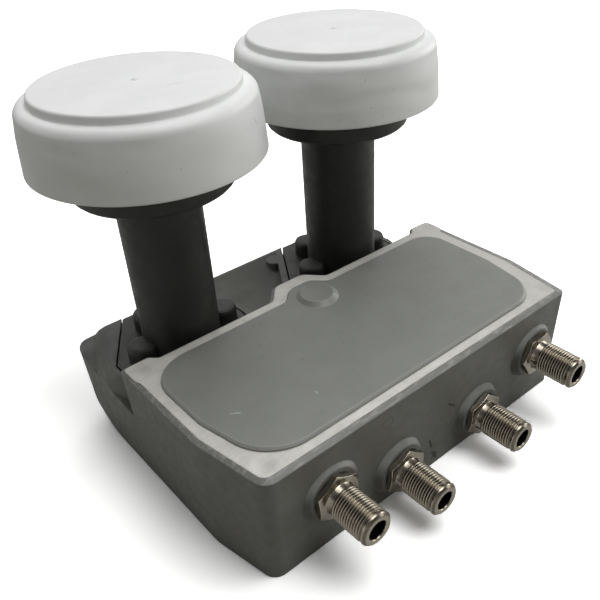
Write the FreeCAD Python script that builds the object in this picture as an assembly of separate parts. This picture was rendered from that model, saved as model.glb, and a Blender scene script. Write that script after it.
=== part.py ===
"""Twin-feed satellite LNB with four F outputs, as separate solids in millimetres.

X runs along the row of connectors, the connectors face -Y, the necks stand up along +Z.
The origin is midway between the two neck axes, on the base plane.
"""
import FreeCAD
import Part
import math
import os

V = FreeCAD.Vector

# Feeds.
neck_spacing = 64.0
neck_radius = 11.5
neck_fillet = 1.2
waveguide_radius = 8.75

# Caps, side by side with a small gap; heights are measured down from the top.
cap_gap = 2.6
cap_top_z = 106.0
cap_height = 18.9
cap_disc_rise = 2.2
cap_shoulder_drop = 1.9
cap_wall_drop = 8.4
cap_lip = 0.45
cap_lip_height = 0.9
cap_lip_edge = 0.6
cap_lip_draft = 0.05
cap_wall_bulge = 0.35
cap_shoulder_inset = 1.05
cap_groove_inset = 3.25
cap_disc_inset = 4.65
cap_disc_edge = 0.5
cap_step_draft = 0.15
cap_step_lift = 0.1
cap_shoulder_arc = (0.75, 1.25)
cap_wall = 1.9
cap_inner_draft = 0.6
cap_inner_drop = 1.1
cap_seat_clearance = 0.15

# Horn cups: the wide ring carries the cap, the narrow part goes up inside it.
cup_ring_inset = 1.25
cup_ring_rise = 1.5
cup_ring_height = 4.4
cup_depth = 9.6
cup_inset = 8.85
cup_taper = 0.3
cup_edge = 0.7
cup_top_inset = 5.25
choke_wall = 3.5
choke_width = 4.5
choke_depth = 8.0
mouth_wall = 2.5
mouth_clearance = 2.1
flare_rise = 3.0
seal_groove_width = 1.9
seal_groove_depth = 1.4
seal_bevel = 0.4
ring_edge = 0.4

# Block: the tall front part with the lid.
block_centre_x = 2.5
block_rear_half = 59.9
block_front_half = 56.0
block_right_extra = 0.3
block_front_y = -70.4
block_bend_y = -48.0
block_bend_radius = 12.0
block_rear_y = -13.3
block_top_z = 36.4
rim_top_z = 37.2
front_draft = 2.5
side_draft = 1.3
right_flare = 4.0
left_corner_radius = 4.0
right_corner_radius = 2.2
least_corner_radius = 1.0
ear_width = 8.2
ear_depth = 2.2
ear_rim = 0.7
ear_radius = 1.2
ear_inner_radius = 1.6
ear_foot_radius = 1.8
ear_kink_setback = 5.3
ear_kink = 1.8
ear_kink_radius = 1.5
hump_half_base = 11.2
hump_half_top = 5.6
hump_depth = 6.0
hump_base_radius = 3.0
hump_top_radius = 4.0
hump_base_inset = 0.7
hump_top_inset = 0.4
wall = 2.7
floor_z = 2.6

# Rim, lid and sealing band.
rim_left = 1.25
rim_right = 2.65
rim_front = 1.6
rim_rear = 0.9
rim_land = 0.15
lid_seat_z = 34.4
lid_sheet = 1.2
lid_clearance = 0.3
ledge = 2.6
panel_left_margin = 4.2
panel_right_margin = 7.1
panel_left_front_margin = 4.9
panel_right_front_margin = 6.8
panel_front_margin = 4.4
panel_rear_margin = 4.5
panel_bend_offset = 4.0
panel_top_z = 38.2
panel_edge = 0.5
panel_left_front_radius = 14.0
panel_right_front_radius = 12.0
panel_left_rear_radius = 11.5
panel_right_rear_radius = 8.0
panel_hump_half_base = 8.6
panel_hump_half_top = 3.6
panel_hump_depth = 4.6
panel_hump_base_radius = 3.5
panel_hump_top_radius = 4.0
pad_offset_x = 0.1
pad_setback = 4.4
pad_base_radius = 6.4
pad_top_radius = 4.9
pad_height = 1.2
lid_screw_head_radius = 2.2
lid_screw_head = 1.2
lid_screw_radius = 1.25
lid_screw_length = 8.0
lid_screw_gap = 0.2
lid_screw_front = 5.2
lid_screw_rear = 2.0
lid_screw_ear = 1.2
lid_post_radius = 3.6

# Screws.
recess_width = 0.7
recess_reach = 0.55
head_edge = 0.5
head_top = 0.72
screw_point = 0.3
screw_clearance = 0.15
blind_depth = 0.5

# Deck: the low rear part with the two necks.
deck_top_z = 28.1
deck_rear_y = 22.9
deck_rear_draft = 1.0
deck_rear_step = 0.7
deck_skim = 0.02
deck_corner_radius = 5.0
rear_round = 20.0
island_margin = 2.3
# Shoulder sections: y, the edge of the flat and the foot of the slope from the neck axis, and the heights
# of the foot and of the outer rim.
shoulder_sections = (
    (24.5, 13.0, 17.2, 26.4, 26.0),
    (16.5, 16.4, 21.7, 25.4, 24.9),
    (9.0, 19.6, 24.9, 23.1, 22.2),
    (1.0, 23.0, 25.0, 22.0, 21.3),
    (-5.0, 21.2, 23.2, 21.4, 21.0),
    (-15.0, 15.6, 17.6, 21.2, 21.0),
)
shoulder_roll = (0.6, 0.3)
shoulder_reach = 8.0
valley_land = 0.9
valley_mid = (6.0, 23.2)
valley_front = (-14.0, 20.8)
valley_boss = (15.6, 17.8, 3.0)

# Horn plates.
plate_thickness = 3.0
plate_side = 18.9
plate_side_angle = 31.5
plate_half_width = 20.9
plate_rear_gap = 0.5
plate_front_gap = 0.4
recess_land = 0.1
plate_slot = 0.5
plate_corner_radius = 0.8
gasket_thickness = 0.5
gasket_width = 2.2
gasket_land = 0.8
lug_places = ((14.6, 0.2), (-4.0, 13.4), (-13.3, -0.3))
lug_radius = 4.4
lug_height = 5.4
lug_round = 1.2
horn_screw_radius = 1.5
horn_screw_hole = 1.7
horn_screw_length = 10.5
horn_screw_head_radius = 2.9
horn_screw_head = 2.2
horn_screw_seat_z = 20.0
counterbore_radius = 3.3
column_wall = 1.7
waveguide_floor_z = 9.5
tube_wall = 2.5

# Connectors, counted from the left.
connector_x = (-34.4, -10.5, 21.75, 45.8)
connector_z = (20.9, 12.0, 12.0, 21.1)
hex_turn = (33.0, 22.0, 21.0, 2.0)
collar_front_y = -70.9
collar_radius = 8.9
collar_front_radius = 7.7
collar_root = 1.5
seal_thickness = 0.2
seal_radius = 6.3
hex_front_y = -72.7
hex_corner_radius = 7.0
hex_trim = 0.5
hex_chamfer_slope = 1.625
seal_fit = 0.05
thread_radius = 4.7625
thread_start_y = -74.6
thread_front_y = -84.1
thread_lead = 0.4
neck_ring_radius = 4.35
groove_radius = 4.0
groove_width = 0.4
groove_side = 0.15
nose_y = -85.95
nose_radius = 4.3
nose_step = 0.1
nose_chamfer = 0.5
connector_bore_radius = 3.3
connector_bore_depth = 6.0
spigot_radius = 4.5
spigot_clearance = 0.1
spigot_end_y = -64.0
insulator_radius = 2.9
insulator_step = 0.7
contact_radius = 1.0
contact_bore = 0.55
contact_setback = 1.9
contact_bore_depth = 8.0
contact_end = 0.4
contact_joint = 0.1
contact_tail_y = -59.6
tail_radius = 0.45
wire_radius = 0.35

# Circuit board and what stands on it.
board_z = 17.0
board_thickness = 0.8
board_margin = 3.4
post_clearance = 0.6
tongue_half_width = 7.6
tongue_end_y = 4.0
window_clearance = 0.7
board_post_radius = 3.4
board_screw_radius = 1.25
board_screw_head_radius = 2.4
board_screw_head = 1.5
board_screw_length = 8.0
cover_x = (-29.0, 33.0)
cover_y = (-50.5, -29.0)
cover_sheet = 0.6
cover_height = 8.0
packages = (
    (-16.5, -40.0, 7.0, 0.9),
    (19.5, -40.0, 7.0, 0.9),
    (-2.2, -40.2, 3.5, 1.1),
    (7.2, -40.2, 3.5, 1.1),
)
puck_x = (-24.0, 28.0)
puck_y = -34.0
puck_radius = 2.7
puck_height = 2.3
probe_width = 0.9
probe_thickness = 0.3
probe_reach = 5.2
probe_gap = 1.2
probe_end_gap = 0.1
probe_start_y = -14.0

# Cutting tools run past the face that they cut by this much.
past = 3.0

neck_x = (-neck_spacing / 2, neck_spacing / 2)
side_names = ("left", "right")
cap_rim_radius = (neck_spacing - cap_gap) / 2
cap_wall_radius = cap_rim_radius - cap_lip
cap_round_radius = cap_wall_radius - cap_shoulder_inset
cap_groove_radius = cap_wall_radius - cap_groove_inset
cap_disc_radius = cap_wall_radius - cap_disc_inset
cap_rim_z = cap_top_z - cap_height
cap_shoulder_z = cap_top_z - cap_disc_rise
cap_round_z = cap_shoulder_z - cap_shoulder_drop
cap_straight_z = cap_round_z - cap_wall_drop
cup_ring_radius = cap_wall_radius - cup_ring_inset
cup_ring_bottom_z = cap_rim_z + cup_ring_rise
cup_ring_top_z = cup_ring_bottom_z + cup_ring_height
cup_bottom_z = cup_ring_bottom_z - cup_depth
cup_radius = cap_wall_radius - cup_inset
cup_top_radius = cap_wall_radius - cup_top_inset
choke_outer_radius = cup_top_radius - choke_wall
choke_inner_radius = choke_outer_radius - choke_width
horn_mouth_radius = choke_inner_radius - mouth_wall
horn_mouth_z = cap_top_z - cap_wall - mouth_clearance
board_top_z = board_z + board_thickness
lid_flange_top_z = lid_seat_z + lid_sheet
plate_bottom_z = deck_top_z - plate_thickness
pad_x = block_centre_x + pad_offset_x
pad_y = block_rear_y - panel_rear_margin - pad_setback
ear_kink_y = block_rear_y - ear_kink_setback
plate_rear_y = deck_rear_y - plate_rear_gap
plate_front_y = block_rear_y + plate_front_gap
board_post_places = ((-36.0, -31.0), (0.0, -24.0), (40.0, -31.0), (-22.0, -56.0), (6.0, -56.0), (33.0, -56.0))


def rounded_wire(corners, z):
    """Closed outline through corners (x, y, radius) with an arc at each corner."""
    count = len(corners)
    ends = []
    arcs = []
    for i in range(count):
        x, y, r = corners[i]
        before = corners[i - 1]
        after = corners[(i + 1) % count]
        here = V(x, y, z)
        if r <= 0:
            ends.append((here, here))
            arcs.append(None)
            continue
        back = (V(before[0], before[1], z) - here).normalize()
        ahead = (V(after[0], after[1], z) - here).normalize()
        half = back.getAngle(ahead) / 2
        reach = r / math.tan(half)
        bisector = (back + ahead).normalize()
        centre = here + bisector * (r / math.sin(half))
        first = here + back * reach
        last = here + ahead * reach
        middle = centre - bisector * r
        ends.append((first, last))
        arcs.append(Part.Arc(first, middle, last).toShape())
    edges = []
    for i in range(count):
        if arcs[i] is not None:
            edges.append(arcs[i])
        leave = ends[i][1]
        arrive = ends[(i + 1) % count][0]
        if leave.distanceToPoint(arrive) > 1e-6:
            edges.append(Part.makeLine(leave, arrive))
    return Part.Wire(edges)


def prism(corners, low, high):
    """Upright solid over a rounded outline."""
    return Part.Face(rounded_wire(corners, low)).extrude(V(0, 0, high - low))


def tapered(low_corners, low, high_corners, high):
    """Solid between two outlines that have the same corners in the same order."""
    return Part.makeLoft([rounded_wire(low_corners, low), rounded_wire(high_corners, high)], True, True)


def box(x0, x1, y0, y1, z0, z1):
    """Block between two opposite corners."""
    return Part.makeBox(x1 - x0, y1 - y0, z1 - z0, V(x0, y0, z0))


def rod(x, y, z0, z1, radius):
    """Upright cylinder."""
    return Part.makeCylinder(radius, z1 - z0, V(x, y, z0), V(0, 0, 1))


def along_y(x, z, y0, y1, radius):
    """Cylinder along a connector axis."""
    return Part.makeCylinder(radius, y1 - y0, V(x, y0, z), V(0, 1, 0))


def profile(points):
    """Closed face in the XZ plane from (r, z) points.

    A point with four values is reached by an arc through its second pair.
    """
    edges = []
    last = V(points[0][0], 0, points[0][1])
    for point in list(points[1:]) + [points[0][:2]]:
        here = V(point[0], 0, point[1])
        if len(point) == 4:
            edges.append(Part.Arc(last, V(point[2], 0, point[3]), here).toShape())
        else:
            edges.append(Part.makeLine(last, here))
        last = here
    return Part.Face(Part.Wire(edges))


def turned(points, x=0, y=0):
    """Solid turned about the upright axis at x, y from (radius, z) points."""
    solid = profile(points).revolve(V(0, 0, 0), V(0, 0, 1), 360)
    solid.translate(V(x, y, 0))
    return solid


def turned_y(points, x, z):
    """Solid turned about a connector axis from (radius, y) points."""
    solid = turned(points)
    solid.rotate(V(0, 0, 0), V(1, 0, 0), -90)
    solid.translate(V(x, 0, z))
    return solid


def fuse(shapes):
    return shapes[0].multiFuse(shapes[1:]).removeSplitter()


def block_half(y):
    """Half width of the block at y, in front of the bend."""
    share = (y - block_front_y) / (block_bend_y - block_front_y)
    return block_front_half + (block_rear_half - block_front_half) * share


def block_outline(left, right, front, rear):
    """Corners of the block in plan, inset from its upper wall line on each side."""
    c = block_centre_x
    front_y = block_front_y + front
    rear_y = block_rear_y - rear
    ear_y = rear_y + ear_depth
    hump_y = rear_y + hump_depth
    left_front = c - block_half(front_y) + left
    right_front = c + block_half(front_y) + block_right_extra - right
    left_x = c - block_rear_half + left
    right_x = c + block_rear_half - right
    ear_x = block_rear_half - ear_width
    base = hump_half_base - rear * hump_base_inset
    top = hump_half_top - rear * hump_top_inset
    return [
        (left_front, front_y, max(left_corner_radius - left, least_corner_radius)),
        (right_front, front_y, max(right_corner_radius - right, least_corner_radius)),
        (right_x, block_bend_y, block_bend_radius),
        (right_x, ear_y, ear_radius),
        (c + ear_x, ear_y, ear_inner_radius),
        (c + ear_x - ear_depth, rear_y, ear_foot_radius),
        (c + base, rear_y, hump_base_radius),
        (c + top, hump_y, hump_top_radius),
        (c - top, hump_y, hump_top_radius),
        (c - base, rear_y, hump_base_radius),
        (c - ear_x + ear_depth, rear_y, ear_foot_radius),
        (c - ear_x, ear_y, ear_inner_radius),
        (left_x, ear_y, ear_radius),
        (left_x, block_bend_y, block_bend_radius),
    ]


def groove_outline(clearance):
    """Outline of the lid seat inside the rim, which widens beside the ears."""
    extra = rim_land + clearance
    plain = block_outline(rim_left + extra, rim_right + extra, rim_front + extra, rim_rear + extra)
    reach = block_rear_half - ear_rim - clearance
    right_x = plain[3][0]
    left_x, ear_y, radius = plain[12]
    kink_y = ear_kink_y - ear_kink
    right = [
        (right_x, kink_y, ear_kink_radius),
        (block_centre_x + reach, ear_kink_y, ear_kink_radius),
        (block_centre_x + reach, ear_y, radius),
    ]
    left = [
        (block_centre_x - reach, ear_y, radius),
        (block_centre_x - reach, ear_kink_y, ear_kink_radius),
        (left_x, kink_y, ear_kink_radius),
    ]
    return plain[:3] + right + plain[4:12] + left + plain[13:]


def panel_outline(inset):
    """Raised middle of the lid, with its hump beside the round pad."""
    c = block_centre_x
    left = c - block_rear_half + panel_left_margin + inset
    right = c + block_rear_half - panel_right_margin - inset
    left_front = c - block_front_half + panel_left_front_margin + inset
    right_front = c + block_front_half - panel_right_front_margin - inset
    front = block_front_y + panel_front_margin + inset
    rear = block_rear_y - panel_rear_margin - inset
    bend = block_bend_y + panel_bend_offset
    hump = rear + panel_hump_depth
    base = panel_hump_half_base - inset
    top = panel_hump_half_top
    return [
        (left_front, front, panel_left_front_radius),
        (right_front, front, panel_right_front_radius),
        (right, bend, block_bend_radius),
        (right, rear, panel_right_rear_radius),
        (pad_x + base, rear, panel_hump_base_radius),
        (pad_x + top, hump, panel_hump_top_radius),
        (pad_x - top, hump, panel_hump_top_radius),
        (pad_x - base, rear, panel_hump_base_radius),
        (left, rear, panel_left_rear_radius),
        (left, bend, block_bend_radius),
    ]


def lid_screw_places():
    """Two screws at the front corners of the lid and one in each ear."""
    front_y = block_front_y + lid_screw_front
    rear_y = block_rear_y - lid_screw_rear
    inset = max(rim_left, rim_right) + rim_land + lid_screw_gap + lid_screw_head_radius
    front = block_half(front_y) + block_right_extra - inset
    rear = block_rear_half - ear_rim - lid_screw_ear - lid_screw_head_radius
    return [
        (block_centre_x - front, front_y),
        (block_centre_x + front, front_y),
        (block_centre_x + rear, rear_y),
        (block_centre_x - rear, rear_y),
    ]


def plate_outline(x, grow, rear_y, front_y):
    """Plan of a horn plate about its neck axis, grown outward by grow."""
    angle = math.radians(plate_side_angle)
    reach = plate_side + grow
    side = plate_half_width + grow

    def on_side(y):
        return (reach - abs(y) * math.sin(angle)) / math.cos(angle)

    corner_y = (reach - side * math.cos(angle)) / math.sin(angle)
    r = plate_corner_radius
    return [
        (x - on_side(rear_y), rear_y, 0),
        (x - side, corner_y, r),
        (x - side, -corner_y, r),
        (x - on_side(front_y), front_y, 0),
        (x + on_side(front_y), front_y, 0),
        (x + side, -corner_y, r),
        (x + side, corner_y, r),
        (x + on_side(rear_y), rear_y, 0),
    ]


def inner_plate_outline(x, inset):
    """Plate outline drawn in by inset on every side."""
    return plate_outline(x, -inset, plate_rear_y - inset, plate_front_y + inset)


def rear_profile(inset, half_width):
    """Side view of the housing swept along X, with the round rear bottom."""
    rear = deck_rear_y - deck_rear_step - inset
    edge = deck_rear_y + deck_skim - inset
    front = block_front_y - past
    top = block_top_z + past
    radius = rear_round - inset
    centre_y = rear - radius
    centre_z = inset + radius
    slant = radius * math.sqrt(0.5)
    arc = Part.Arc(V(0, centre_y, inset), V(0, centre_y + slant, centre_z - slant), V(0, rear, centre_z))
    edges = [
        Part.makeLine(V(0, front, inset), V(0, centre_y, inset)),
        arc.toShape(),
        Part.makeLine(V(0, rear, centre_z), V(0, edge, deck_top_z)),
        Part.makeLine(V(0, edge, deck_top_z), V(0, edge, top)),
        Part.makeLine(V(0, edge, top), V(0, front, top)),
        Part.makeLine(V(0, front, top), V(0, front, inset)),
    ]
    face = Part.Face(Part.Wire(edges))
    face.translate(V(block_centre_x - half_width, 0, 0))
    return face.extrude(V(2 * half_width, 0, 0))


def shoulder(sign):
    """Volume removed outside the plate surround at one end of the deck."""
    axis = neck_spacing / 2
    far = block_rear_half + shoulder_reach
    high = deck_top_z + past
    wires = []
    for y, edge, foot, foot_z, side_z in shoulder_sections:
        roll_x = edge + (foot - edge) * shoulder_roll[0]
        roll_z = deck_top_z - (deck_top_z - foot_z) * shoulder_roll[1]
        points = [
            V(sign * (axis + edge), y, high),
            V(sign * (axis + edge), y, deck_top_z),
            V(sign * (axis + roll_x), y, roll_z),
            V(sign * (axis + foot), y, foot_z),
            V(sign * far, y, side_z),
            V(sign * far, y, high),
        ]
        wires.append(Part.makePolygon(points + [points[0]]))
    return Part.makeLoft(wires, True, False)


def valley():
    """Hollow between the two plate surrounds, shallow at the rear and deeper at the block."""
    grow = plate_slot + island_margin
    left = plate_outline(neck_x[0], grow, deck_rear_y, -deck_rear_y)
    right = plate_outline(neck_x[1], grow, deck_rear_y, -deck_rear_y)
    corners = [left[7], left[6], left[5], left[4], right[3], right[2], right[1], right[0]]
    high = deck_top_z + past
    plan = prism(corners, 0, high)
    rear_y = deck_rear_y - valley_land
    front_y, front_z = valley_front
    arc = Part.Arc(V(0, rear_y, deck_top_z), V(0, valley_mid[0], valley_mid[1]), V(0, front_y, front_z))
    edges = [
        arc.toShape(),
        Part.makeLine(V(0, front_y, front_z), V(0, front_y, high)),
        Part.makeLine(V(0, front_y, high), V(0, rear_y, high)),
        Part.makeLine(V(0, rear_y, high), V(0, rear_y, deck_top_z)),
    ]
    face = Part.Face(Part.Wire(edges))
    face.translate(V(neck_x[0], 0, 0))
    return face.extrude(V(neck_spacing, 0, 0)).common(plan)


def deck_body():
    """Low rear part, before the block joins it."""
    left = block_centre_x - block_rear_half
    right = block_centre_x + block_rear_half
    inner = (block_rear_y + block_bend_y) / 2
    top = [
        (left, inner, 0),
        (right, inner, 0),
        (right, deck_rear_y, deck_corner_radius),
        (left, deck_rear_y, deck_corner_radius),
    ]
    low_rear = deck_rear_y - deck_rear_draft
    low = [
        (left + side_draft, inner, 0),
        (right - side_draft, inner, 0),
        (right - side_draft, low_rear, deck_corner_radius),
        (left + side_draft, low_rear, deck_corner_radius),
    ]
    share = deck_top_z / block_top_z
    drafted = []
    for (x0, y0, r0), (x1, y1, r1) in zip(low, top):
        drafted.append((x0 + (x1 - x0) * share, y1, r1))
    body = tapered(low, 0, drafted, deck_top_z)
    body = body.common(rear_profile(0, block_rear_half + shoulder_reach))
    body = body.cut([shoulder(-1), shoulder(1), valley()])
    offset, boss_y, boss_radius = valley_boss
    for sign in (-1, 1):
        boss_x = sign * (neck_spacing / 2 - offset)
        body = body.fuse(rod(boss_x, boss_y, valley_front[1], deck_top_z, boss_radius))
    return body


def block_body():
    """Tall front part with its slanted walls and chamfered rim."""
    top = block_outline(0, 0, 0, 0)
    side_x = block_rear_half - ear_width - ear_depth
    low = []
    for x, y, r in top:
        outer = abs(x - block_centre_x) >= side_x - least_corner_radius or y <= block_bend_y
        inward = side_draft if outer else 0
        if x > block_centre_x:
            inward = -inward
        in_front = y <= block_front_y
        if in_front and x > block_centre_x:
            inward = inward + right_flare
        shift = front_draft if in_front else 0
        low.append((x + inward, y + shift, r))
    lower = tapered(low, 0, top, block_top_z)
    rim = tapered(top, block_top_z, block_outline(rim_left, rim_right, rim_front, rim_rear), rim_top_z)
    return lower.fuse(rim)


def front_face_y(z):
    """Y of the slanted front wall at height z."""
    return block_front_y + front_draft * (1 - z / block_top_z)


def collar(x, z):
    """Round boss on the front wall behind a connector, tapering to its face."""
    wall_y = front_face_y(z)
    back = wall_y + collar_root
    points = [
        (0, back), (collar_radius, back), (collar_radius, wall_y),
        (collar_front_radius, collar_front_y), (0, collar_front_y),
    ]
    return turned_y(points, x, z)


def cavity_outline(margin):
    """Plan of the hollow that holds the board, less a margin."""
    extra = rim_land + ledge + margin
    edge = block_outline(rim_left + extra, rim_right + extra, rim_front + extra, 0)
    rear_y = block_rear_y - wall - margin
    return [
        edge[0],
        edge[1],
        edge[2],
        (edge[2][0], rear_y, ear_foot_radius),
        (edge[13][0], rear_y, ear_foot_radius),
        edge[13],
    ]


def lug_centres(x):
    """Centres of the three screw lugs beside the neck at x."""
    return [(x + dx, dy) for dx, dy in lug_places]


def neck_seat(x):
    """Cuts for one horn: recess, gasket rebate, core, screw holes, waveguide and window."""
    recess = plate_outline(x, plate_slot, deck_rear_y + past, block_rear_y + recess_land)
    rebate = prism(inner_plate_outline(x, 0), plate_bottom_z - gasket_thickness, plate_bottom_z)
    rebate = rebate.cut(prism(inner_plate_outline(x, gasket_width), floor_z, deck_top_z))
    core = prism(inner_plate_outline(x, gasket_width + gasket_land), floor_z, plate_bottom_z)
    core = core.common(rear_profile(wall, block_rear_half))
    core = core.cut(rod(x, 0, 0, deck_top_z, waveguide_radius + tube_wall))
    tools = [prism(recess, plate_bottom_z, deck_top_z + past), rebate]
    for cx, cy in lug_centres(x):
        core = core.cut(rod(cx, cy, 0, deck_top_z, counterbore_radius + column_wall))
        tools.append(rod(cx, cy, -past, horn_screw_seat_z, counterbore_radius))
        tools.append(rod(cx, cy, horn_screw_seat_z - past, deck_top_z, horn_screw_hole))
    tools.append(core)
    tools.append(rod(x, 0, waveguide_floor_z, deck_top_z, waveguide_radius))
    side = tongue_half_width + window_clearance
    window_top = board_top_z + probe_thickness + 2 * window_clearance
    window_floor = board_z - window_clearance
    tools.append(box(x - side, x + side, block_rear_y - wall - past, 0, window_floor, window_top))
    return tools


def housing():
    """One casting: block, deck, collars, board posts and lid posts."""
    body = fuse([deck_body(), block_body()])
    hollow = prism(cavity_outline(0), floor_z, rim_top_z + past)
    posts = [rod(x, y, 0, lid_seat_z, lid_post_radius) for x, y in lid_screw_places()]
    body = body.cut(hollow.cut(posts))
    body = body.cut(prism(groove_outline(0), lid_seat_z, rim_top_z + past))
    seats = [rod(x, y, floor_z - blind_depth, board_z, board_post_radius) for x, y in board_post_places]
    collars = [collar(x, z) for x, z in zip(connector_x, connector_z)]
    body = body.fuse(seats + collars)
    tools = []
    board_hole_end = board_top_z - board_screw_length - blind_depth
    for x, y in board_post_places:
        tools.append(rod(x, y, board_hole_end, board_top_z, board_screw_radius))
    lid_hole_end = lid_flange_top_z - lid_screw_length - blind_depth
    for x, y in lid_screw_places():
        tools.append(rod(x, y, lid_hole_end, lid_flange_top_z, lid_screw_radius))
    bore = spigot_radius + spigot_clearance
    for x, z in zip(connector_x, connector_z):
        tools.append(along_y(x, z, collar_front_y - past, spigot_end_y + past, bore))
    for x in neck_x:
        tools.extend(neck_seat(x))
    return body.cut(tools).removeSplitter()


def lid():
    """Pressed lid with a flange, a raised panel and a round pad."""
    flange = prism(groove_outline(lid_clearance), lid_seat_z, lid_flange_top_z)
    straight_z = panel_top_z - panel_edge
    panel = prism(panel_outline(0), lid_seat_z, straight_z)
    edge = tapered(panel_outline(0), straight_z, panel_outline(panel_edge), panel_top_z)
    pad = Part.makeCone(pad_base_radius, pad_top_radius, pad_height, V(pad_x, pad_y, panel_top_z), V(0, 0, 1))
    body = fuse([flange, panel, edge, pad])
    tools = [prism(panel_outline(lid_sheet), lid_seat_z - past, panel_top_z - lid_sheet)]
    hole = lid_screw_radius + screw_clearance
    for x, y in lid_screw_places():
        tools.append(rod(x, y, lid_seat_z - past, lid_flange_top_z + past, hole))
    return body.cut(tools)


def pan_screw(x, y, seat_z, radius, length, head_radius, head, up):
    """Cross-recessed screw with its head on seat_z; up is +1 when the head is above the seat."""
    points = [
        (0, -length), (radius - screw_point, -length), (radius, screw_point - length), (radius, 0),
        (head_radius, 0), (head_radius, head * head_edge), (head_radius * head_top, head), (0, head),
    ]
    arm = head_radius * recess_reach
    half = recess_width / 2
    low = head * head_edge
    cross = [box(-arm, arm, -half, half, low, head + past), box(-half, half, -arm, arm, low, head + past)]
    body = turned(points).cut(cross)
    if up < 0:
        body.rotate(V(0, 0, 0), V(1, 0, 0), 180)
    body.translate(V(x, y, seat_z))
    return body


def lid_screws():
    screws = []
    for x, y in lid_screw_places():
        screws.append(pan_screw(x, y, lid_flange_top_z, lid_screw_radius, lid_screw_length,
                                lid_screw_head_radius, lid_screw_head, 1))
    return Part.makeCompound(screws)


def lid_sealant():
    """Compound that fills the groove between rim and panel and covers the lid screws."""
    band = prism(groove_outline(0), lid_flange_top_z, rim_top_z)
    tools = [prism(panel_outline(0), lid_seat_z, rim_top_z + past)]
    for x, y in lid_screw_places():
        tools.append(rod(x, y, lid_seat_z, lid_flange_top_z + lid_screw_head, lid_screw_head_radius))
    return band.cut(tools)


def lug_profile():
    """Outline of a screw lug from the plate up to its softened top edge."""
    top = deck_top_z + lug_height
    bite = lug_round * (1 - math.sqrt(0.5))
    return [(0, plate_bottom_z), (lug_radius, plate_bottom_z), (lug_radius, top - lug_round),
            (lug_radius - bite, top - bite), (lug_radius - lug_round, top), (0, top)]


def horn(x):
    """One feed casting: plate with screw lugs, neck tube and horn cup with its choke."""
    tube_points = [
        (0, plate_bottom_z), (neck_radius, plate_bottom_z), (neck_radius, cup_bottom_z - neck_fillet),
        (neck_radius + neck_fillet, cup_bottom_z), (cup_radius - cup_edge, cup_bottom_z),
        (cup_radius, cup_bottom_z + cup_edge), (cup_radius + cup_taper, cup_ring_bottom_z),
        (cup_ring_radius - ring_edge, cup_ring_bottom_z), (cup_ring_radius, cup_ring_bottom_z + ring_edge),
        (cup_ring_radius, cup_ring_top_z), (cup_top_radius, cup_ring_top_z), (cup_top_radius, horn_mouth_z),
        (0, horn_mouth_z),
    ]
    parts = [prism(inner_plate_outline(x, 0), plate_bottom_z, deck_top_z), turned(tube_points, x)]
    for cx, cy in lug_centres(x):
        parts.append(turned(lug_profile(), cx, cy))
    low = plate_bottom_z - past
    high = horn_mouth_z + past
    bore = [(0, low), (waveguide_radius, low), (waveguide_radius, cup_bottom_z + flare_rise),
            (horn_mouth_radius, horn_mouth_z), (horn_mouth_radius, high), (0, high)]
    choke_floor = horn_mouth_z - choke_depth
    choke = [(choke_inner_radius, choke_floor), (choke_outer_radius, choke_floor), (choke_outer_radius, high),
             (choke_inner_radius, high)]
    seal_low, seal_high, seal_floor = seal_groove()
    outside = cup_ring_radius + past
    groove = [(seal_floor, seal_low), (outside, seal_low), (outside, seal_high), (seal_floor, seal_high)]
    tools = [turned(points, x) for points in (bore, choke, groove)]
    hole_end = horn_screw_seat_z + horn_screw_length + blind_depth
    for cx, cy in lug_centres(x):
        tools.append(rod(cx, cy, low, hole_end, horn_screw_radius))
    return fuse(parts).cut(tools)


def seal_groove():
    """Lower edge, upper edge and floor radius of the groove round the cup ring."""
    middle = (cup_ring_bottom_z + cup_ring_top_z) / 2
    half = seal_groove_width / 2
    return middle - half, middle + half, cup_ring_radius - seal_groove_depth


def cap_seal(x):
    """Rubber ring between the cup ring and the cap."""
    low, high, floor = seal_groove()
    outer = cup_ring_radius + cap_seat_clearance
    middle = (low + high) / 2
    half = (outer - floor) / 2
    bevel = half * seal_bevel
    return turned([
        (floor, middle - bevel), (floor + half - bevel, middle - half), (floor + half + bevel, middle - half),
        (outer, middle - bevel), (outer, middle + bevel), (floor + half + bevel, middle + half),
        (floor + half - bevel, middle + half), (floor, middle + bevel)], x)


def cap(x):
    """Moulded cover: raised disc, rounded shoulder, wall and a thin lip at its lower edge."""
    seat_radius = cup_ring_radius + cap_seat_clearance
    inner_radius = cap_wall_radius - cap_wall
    under_z = cap_top_z - cap_wall
    arc_in, arc_up = cap_shoulder_arc
    wall_middle = (cap_round_z + cap_straight_z) / 2
    points = [
        (0, cap_top_z), (cap_disc_radius - cap_disc_edge, cap_top_z),
        (cap_disc_radius, cap_top_z - cap_disc_edge),
        (cap_disc_radius + cap_step_draft, cap_shoulder_z + cap_step_lift),
        (cap_groove_radius, cap_shoulder_z),
        (cap_round_radius, cap_round_z, cap_round_radius - arc_in, cap_round_z + arc_up),
        (cap_wall_radius, cap_straight_z, cap_wall_radius - cap_wall_bulge, wall_middle),
        (cap_wall_radius + cap_lip_draft, cap_rim_z + cap_lip_height),
        (cap_rim_radius, cap_rim_z + cap_lip_edge), (cap_rim_radius, cap_rim_z),
        (seat_radius, cap_rim_z), (seat_radius, cup_ring_top_z),
        (inner_radius - cap_inner_draft, cup_ring_top_z),
        (inner_radius - 2 * cap_inner_draft, cap_round_z - cap_inner_drop),
        (cap_disc_radius - cap_wall, under_z), (0, under_z),
    ]
    return turned(points, x)


def gasket(x):
    """Flat ring under the edge of a horn plate."""
    low = plate_bottom_z - gasket_thickness
    ring = prism(inner_plate_outline(x, 0), low, plate_bottom_z)
    return ring.cut(prism(inner_plate_outline(x, gasket_width), low - past, plate_bottom_z + past))


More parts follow.
